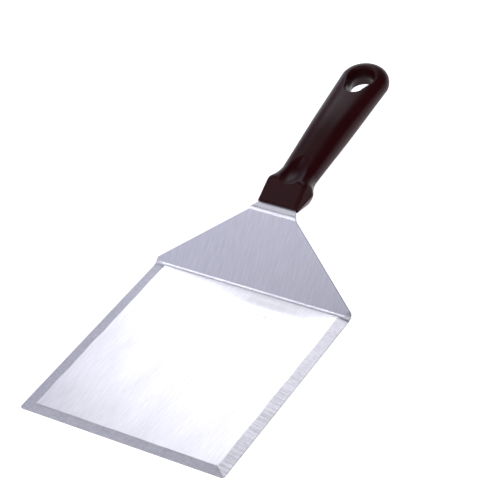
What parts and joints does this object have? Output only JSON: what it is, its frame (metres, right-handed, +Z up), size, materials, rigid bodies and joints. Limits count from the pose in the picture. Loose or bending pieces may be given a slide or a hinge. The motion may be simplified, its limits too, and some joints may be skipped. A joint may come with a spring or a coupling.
{
  "type": "grill spatula",
  "caption": "Grill spatula with a wide flat blade ground on three edges, a tapered raised shoulder and a moulded black handle with a guard and a teardrop hanging hole.",
  "frame": {"origin": "middle of the blade's flat underside: half way across its width and half way from the front edge to the lower bend line", "axes": "+X from the blade towards the handle, +Y to the left when looking along +X, +Z up out of the blade's top face"},
  "size_m": [0.2979, 0.127, 0.0624],
  "materials": {
    "stainless_sheet": "brushed flat, ground bevels",
    "black_polypropylene": "satin moulded"
  },
  "bodies": {
    "root": {"blade": "stainless_sheet", "handle": "black_polypropylene"}
  },
  "joints": []
}
